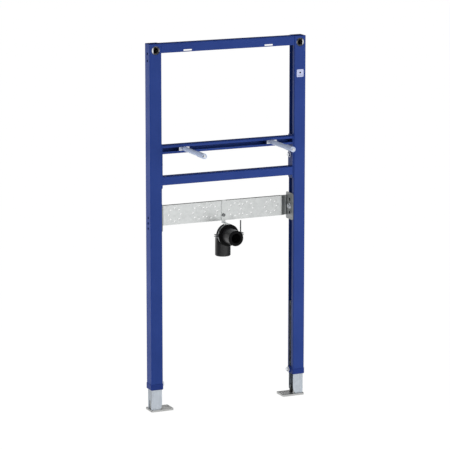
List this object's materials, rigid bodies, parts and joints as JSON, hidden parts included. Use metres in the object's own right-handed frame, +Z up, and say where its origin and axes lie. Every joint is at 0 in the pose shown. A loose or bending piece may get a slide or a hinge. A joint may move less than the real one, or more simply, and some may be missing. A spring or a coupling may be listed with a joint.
{
  "type": "basin installation frame",
  "caption": "Free-standing steel frame with telescopic legs, sliding studs for a washbasin, a perforated tap plate and a clamped waste bend, for building into a wall.",
  "frame": {"origin": "on the floor, at the frame's centre line, in the plane of the posts' front faces", "axes": "+X to the right seen from the front, +Y back to the wall, +Z up along the posts"},
  "size_m": [0.5426, 0.227, 1.181],
  "materials": {
    "blue_paint": "smooth blue powder coat, semi-gloss",
    "blue_plastic": "moulded blue plastic",
    "galvanised": "hot-dip galvanised sheet with a faint spangle",
    "zinc_bolts": "bright zinc-plated steel",
    "grey_plastic": "light grey protective sleeve",
    "black_plastic": "black polyethylene, satin",
    "black_rubber": "black sealing rubber",
    "white_mark": "white level mark with a plain dot and line"
  },
  "bodies": {
    "frame": {"left_post": "blue_paint", "left_end_guide": "blue_plastic", "left_leg_clamp_bolt": "zinc_bolts", "left_anchor_socket": "black_plastic", "left_anchor_washer": "zinc_bolts", "left_plate_bracket": "galvanised", "left_bracket_bolt": "zinc_bolts", "right_post": "blue_paint", "right_end_guide": "blue_plastic", "right_leg_clamp_bolt": "zinc_bolts", "right_anchor_socket": "black_plastic", "right_anchor_washer": "zinc_bolts", "right_plate_bracket": "galvanised", "right_bracket_bolt": "zinc_bolts", "top_rail": "blue_paint", "level_mark": "white_mark", "tap_plate": "galvanised", "clip_hanger": "galvanised", "hanger_bolt": "zinc_bolts", "clip_upper_half": "galvanised", "clip_lower_half": "galvanised", "clip_lining": "black_rubber", "clip_screws": "zinc_bolts", "waste_bend": "black_plastic", "bend_seal": "black_rubber"},
    "traverse": {"basin_rail": "blue_paint", "lower_rail": "blue_paint", "left_side_plate": "blue_paint", "left_traverse_bolt": "zinc_bolts", "left_traverse_nut": "zinc_bolts", "right_side_plate": "blue_paint", "right_traverse_bolt": "zinc_bolts", "right_traverse_nut": "zinc_bolts"},
    "left_basin_stud": {"left_stud": "zinc_bolts", "left_stud_block": "zinc_bolts", "left_stud_sleeve": "grey_plastic", "left_stud_cap": "grey_plastic"},
    "left_leg_unit": {"left_leg": "galvanised", "left_foot_plate": "galvanised"},
    "right_basin_stud": {"right_stud": "zinc_bolts", "right_stud_block": "zinc_bolts", "right_stud_sleeve": "grey_plastic", "right_stud_cap": "grey_plastic"},
    "right_leg_unit": {"right_leg": "galvanised", "right_foot_plate": "galvanised"}
  },
  "joints": [
    {"name": "traverse_slide", "type": "slide", "parent": "frame", "child": "traverse", "axis": [0, 0, 1], "range_m": [-0.044, 0.1]},
    {"name": "left_stud_slide", "type": "slide", "parent": "traverse", "child": "left_basin_stud", "axis": [-1, 0, 0], "range_m": [-0.1275, 0.0375]},
    {"name": "left_leg_slide", "type": "slide", "parent": "frame", "child": "left_leg_unit", "axis": [0, 0, -1], "range_m": [-0.06, 0.135]},
    {"name": "right_stud_slide", "type": "slide", "parent": "traverse", "child": "right_basin_stud", "axis": [1, 0, 0], "range_m": [-0.1275, 0.0375]},
    {"name": "right_leg_slide", "type": "slide", "parent": "frame", "child": "right_leg_unit", "axis": [0, 0, -1], "range_m": [-0.06, 0.135]}
  ]
}
